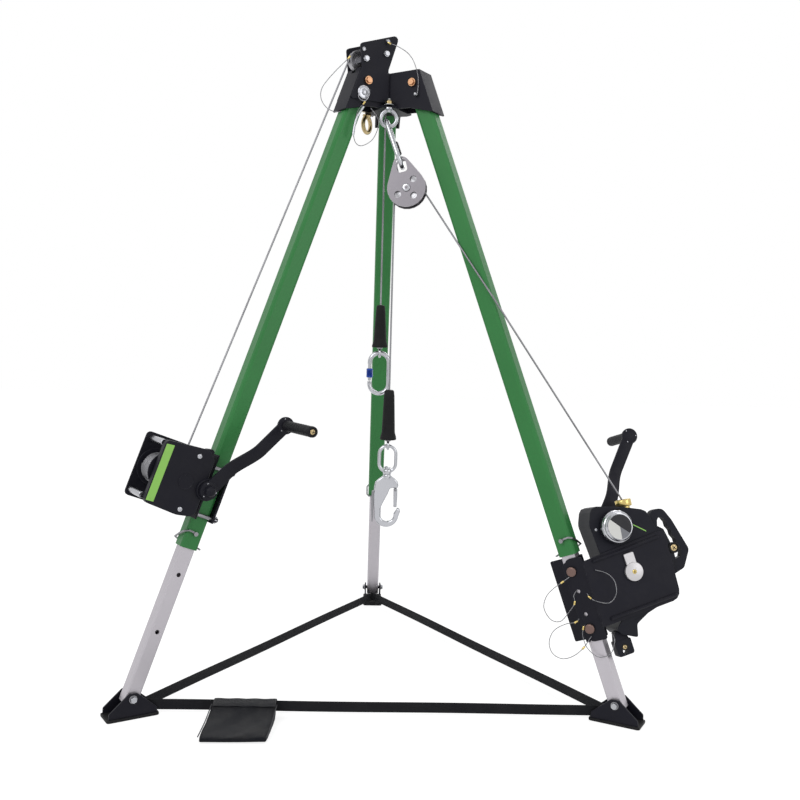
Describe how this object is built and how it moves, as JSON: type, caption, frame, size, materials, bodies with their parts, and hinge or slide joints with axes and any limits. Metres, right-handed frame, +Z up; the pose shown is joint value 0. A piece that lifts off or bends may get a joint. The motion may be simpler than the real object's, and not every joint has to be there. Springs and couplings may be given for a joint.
{
  "type": "lifting tripod",
  "caption": "Folding lifting tripod with telescopic legs, a hand winch, a fall arrest block with a rescue crank, lead pulleys, tackle and a foot strap.",
  "frame": {"origin": "on the floor, under the middle of the whole tripod's box, between the three soles", "axes": "+Z up; -Y faces the two front legs, the winch is on the front left leg and the fall arrest block on the front right leg"},
  "size_m": [1.3669, 1.1893, 1.6163],
  "materials": {
    "painted_tube": "semi-gloss green paint on aluminium tube",
    "bare_tube": "drawn aluminium, satin",
    "head_plate": "black powder coat on bent steel plate",
    "foot_plate": "black powder coat on steel plate, rubber soled",
    "cast_wheel": "turned aluminium",
    "bright_steel": "zinc plated steel, bright",
    "yellow_zinc": "yellow passivated zinc on steel",
    "steel_wire": "galvanised steel wire rope, 4.8 mm",
    "webbing": "woven polyester webbing",
    "pouch_cloth": "coated nylon cloth with taped edges",
    "winch_black": "black powder coat on pressed steel",
    "grip_black": "moulded grip, fine texture",
    "housing_black": "ribbed glass-filled nylon moulding",
    "knob_bright": "polished steel knob with a printed face",
    "lever_metal": "blasted aluminium",
    "brass_gland": "turned brass",
    "rubber": "black moulded rubber",
    "blue_sleeve": "blue anodised screw sleeve",
    "black_sleeve": "black anodised screw sleeve"
  },
  "bodies": {
    "root": {"head_frame": "head_plate", "pulley_cheek_near": "head_plate", "pulley_cheek_far": "head_plate", "sheave_bolt_outer": "bright_steel", "sheave_bolt_inner": "bright_steel", "front_eye": "bright_steel", "side_eye": "yellow_zinc", "pivot_bolt_left": "yellow_zinc", "pivot_bolt_right": "yellow_zinc", "pivot_bolt_rear": "yellow_zinc", "foot_strap": "webbing", "strap_pouch": "pouch_cloth", "winch_wire": "steel_wire", "arrest_wire": "steel_wire"},
    "leg_left": {"outer_tube_left": "painted_tube", "leg_pin_left": "bright_steel", "winch_frame": "winch_black", "winch_cover": "winch_black", "winch_clamp": "head_plate"},
    "leg_left_lower": {"inner_tube_left": "bare_tube"},
    "leg_right": {"outer_tube_right": "painted_tube", "leg_pin_right": "bright_steel"},
    "leg_right_lower": {"inner_tube_right": "bare_tube", "arrester_bracket": "head_plate", "arrester_case": "housing_black", "arrester_gland": "brass_gland", "arrester_anchor": "housing_black"},
    "leg_rear": {"outer_tube_rear": "painted_tube", "leg_pin_rear": "bright_steel"},
    "leg_rear_lower": {"inner_tube_rear": "bare_tube"},
    "shoe_left": {"foot_left": "foot_plate"},
    "shoe_right": {"foot_right": "foot_plate"},
    "shoe_rear": {"foot_rear": "foot_plate"},
    "pull_pin_left": {"lock_pin_left": "bright_steel"},
    "pull_pin_right": {"lock_pin_right": "bright_steel"},
    "pull_pin_rear": {"lock_pin_rear": "bright_steel"},
    "winch_handle": {"winch_crank": "winch_black"},
    "winch_handle_grip": {"winch_grip": "grip_black"},
    "drum": {"winch_drum": "winch_black", "winch_drum_wire": "steel_wire"},
    "rescue_handle": {"arrester_crank": "winch_black"},
    "rescue_handle_grip": {"arrester_grip": "grip_black"},
    "clutch_knob": {"arrester_knob": "knob_bright"},
    "selector": {"arrester_lever": "lever_metal"},
    "detent_pin_upper": {"bracket_pin_upper": "yellow_zinc"},
    "detent_pin_lower": {"bracket_pin_lower": "yellow_zinc"},
    "lead_sheave_outer": {"sheave_outer": "cast_wheel"},
    "lead_sheave_inner": {"sheave_inner": "cast_wheel"},
    "block": {"block_carabiner": "bright_steel", "block_cheek_front": "bright_steel", "block_cheek_rear": "bright_steel"},
    "block_gate": {"block_carabiner_gate": "black_sleeve"},
    "block_wheel": {"block_sheave": "cast_wheel"},
    "hoist_hook": {"hoist_boot": "rubber", "hoist_carabiner": "bright_steel"},
    "hoist_gate": {"hoist_carabiner_gate": "blue_sleeve"},
    "arrest_end": {"hook_boot": "rubber", "swivel_ring": "bright_steel"},
    "arrest_hook": {"snap_hook": "bright_steel"},
    "arrest_gate": {"snap_gate": "bright_steel"}
  },
  "joints": [
    {"name": "leg_left_fold", "type": "hinge", "parent": "root", "child": "leg_left", "pos_m": [-0.12838, -0.1568, 1.499], "axis": [0.5, -0.866, 0], "range_deg": [0, 19]},
    {"name": "leg_left_extend", "type": "slide", "parent": "leg_left", "child": "leg_left_lower", "axis": [-0.3146, -0.1817, -0.9317], "range_m": [-0.28, 0.25]},
    {"name": "foot_left_tip", "type": "hinge", "parent": "leg_left_lower", "child": "shoe_left", "pos_m": [-0.61942, -0.4403, 0.045], "axis": [-0.5, 0.866, 0], "range_deg": [-25, 25]},
    {"name": "lock_pin_left_pull", "type": "slide", "parent": "root", "child": "pull_pin_left", "axis": [0.5, -0.866, 0], "range_m": [0, 0.06]},
    {"name": "leg_right_fold", "type": "hinge", "parent": "root", "child": "leg_right", "pos_m": [0.01538, -0.1568, 1.499], "axis": [0.5, 0.866, 0], "range_deg": [0, 19]},
    {"name": "leg_right_extend", "type": "slide", "parent": "leg_right", "child": "leg_right_lower", "axis": [0.3146, -0.1817, -0.9317], "range_m": [-0.006, 0.25]},
    {"name": "foot_right_tip", "type": "hinge", "parent": "leg_right_lower", "child": "shoe_right", "pos_m": [0.50642, -0.4403, 0.045], "axis": [-0.5, -0.866, 0], "range_deg": [-25, 25]},
    {"name": "lock_pin_right_pull", "type": "slide", "parent": "root", "child": "pull_pin_right", "axis": [0.5, 0.866, 0], "range_m": [0, 0.06]},
    {"name": "leg_rear_fold", "type": "hinge", "parent": "root", "child": "leg_rear", "pos_m": [-0.0565, -0.0323, 1.499], "axis": [-1, 0, 0], "range_deg": [0, 19]},
    {"name": "leg_rear_extend", "type": "slide", "parent": "leg_rear", "child": "leg_rear_lower", "axis": [0, 0.3633, -0.9317], "range_m": [-0.28, 0.25], "deforming": ["foot_strap"]},
    {"name": "foot_rear_tip", "type": "hinge", "parent": "leg_rear_lower", "child": "shoe_rear", "pos_m": [-0.0565, 0.5347, 0.045], "axis": [1, 0, 0], "range_deg": [-25, 25]},
    {"name": "lock_pin_rear_pull", "type": "slide", "parent": "root", "child": "pull_pin_rear", "axis": [-1, 0, 0], "range_m": [0, 0.06]},
    {"name": "winch_crank_turn", "type": "hinge", "parent": "leg_left", "child": "winch_handle", "pos_m": [-0.44694, -0.43748, 0.52249], "axis": [-0.5, 0.866, 0], "continuous": true},
    {"name": "winch_grip_spin", "type": "hinge", "parent": "winch_handle", "child": "winch_handle_grip", "pos_m": [-0.27697, -0.39628, 0.66937], "axis": [-0.5, 0.866, 0], "continuous": true},
    {"name": "winch_drum_turn", "type": "hinge", "parent": "leg_left", "child": "drum", "pos_m": [-0.56266, -0.40753, 0.56539], "axis": [-0.5, 0.866, 0], "continuous": true},
    {"name": "rescue_crank_turn", "type": "hinge", "parent": "leg_right_lower", "child": "rescue_handle", "pos_m": [0.4836, -0.29029, 0.42412], "axis": [0.1356, -0.9628, 0.2335], "continuous": true},
    {"name": "rescue_grip_spin", "type": "hinge", "parent": "rescue_handle", "child": "rescue_handle_grip", "pos_m": [0.57554, -0.17411, 0.63863], "axis": [0.1356, -0.9628, 0.2335], "continuous": true},
    {"name": "clutch_knob_turn", "type": "hinge", "parent": "leg_right_lower", "child": "clutch_knob", "pos_m": [0.49622, -0.37993, 0.44586], "axis": [0.1356, -0.9628, 0.2335], "range_deg": [0, 90]},
    {"name": "selector_swing", "type": "hinge", "parent": "leg_right_lower", "child": "selector", "pos_m": [0.54048, -0.40455, 0.34647], "axis": [0.1356, -0.9628, 0.2335], "range_deg": [0, 90]},
    {"name": "detent_pin_upper_pull", "type": "slide", "parent": "leg_right_lower", "child": "detent_pin_upper", "axis": [-0.5, -0.866, 0], "range_m": [0, 0.075]},
    {"name": "detent_pin_lower_pull", "type": "slide", "parent": "leg_right_lower", "child": "detent_pin_lower", "axis": [-0.5, -0.866, 0], "range_m": [0, 0.075]},
    {"name": "lead_sheave_outer_spin", "type": "hinge", "parent": "root", "child": "lead_sheave_outer", "pos_m": [-0.13444, -0.1603, 1.55], "axis": [-0.5, 0.866, 0], "continuous": true},
    {"name": "lead_sheave_inner_spin", "type": "hinge", "parent": "root", "child": "lead_sheave_inner", "pos_m": [-0.08508, -0.1318, 1.57], "axis": [-0.5, 0.866, 0], "continuous": true},
    {"name": "block_swing", "type": "hinge", "parent": "root", "child": "block", "pos_m": [-0.0565, -0.1753, 1.3927], "axis": [-1, 0, 0], "range_deg": [-12, 12]},
    {"name": "block_gate_open", "type": "hinge", "parent": "block", "child": "block_gate", "pos_m": [-0.02619, -0.17456, 1.31621], "axis": [-0.9219, 0.1324, -0.3641], "range_deg": [-20, 0], "stiffness_Nm_per_rad": 0.3},
    {"name": "block_sheave_spin", "type": "hinge", "parent": "block", "child": "block_wheel", "pos_m": [-0.0082, -0.2203, 1.2372], "axis": [0.2252, 0.965, -0.1342], "continuous": true},
    {"name": "hoist_travel", "type": "slide", "parent": "root", "child": "hoist_hook", "axis": [0, 0, 1], "range_m": [-0.5, 0.3], "deforming": ["winch_wire"]},
    {"name": "hoist_gate_open", "type": "hinge", "parent": "hoist_hook", "child": "hoist_gate", "pos_m": [-0.0878, -0.1192, 0.7628], "axis": [0, -1, 0], "range_deg": [-20, 0], "stiffness_Nm_per_rad": 0.3},
    {"name": "arrest_travel", "type": "slide", "parent": "root", "child": "arrest_end", "axis": [0, 0, 1], "range_m": [-0.3, 0.3], "deforming": ["arrest_wire"]},
    {"name": "arrest_hook_swivel", "type": "hinge", "parent": "arrest_end", "child": "arrest_hook", "pos_m": [-0.03839, -0.21325, 0.5407], "axis": [0, 0, 1], "continuous": true},
    {"name": "arrest_gate_open", "type": "hinge", "parent": "arrest_hook", "child": "arrest_gate", "pos_m": [-0.01689, -0.21325, 0.4957], "axis": [0, 1, 0], "range_deg": [0, 22], "stiffness_Nm_per_rad": 0.3}
  ],
  "couplings": [
    {"joint": "winch_drum_turn", "follows": "winch_crank_turn", "ratio": 0.2}
  ]
}
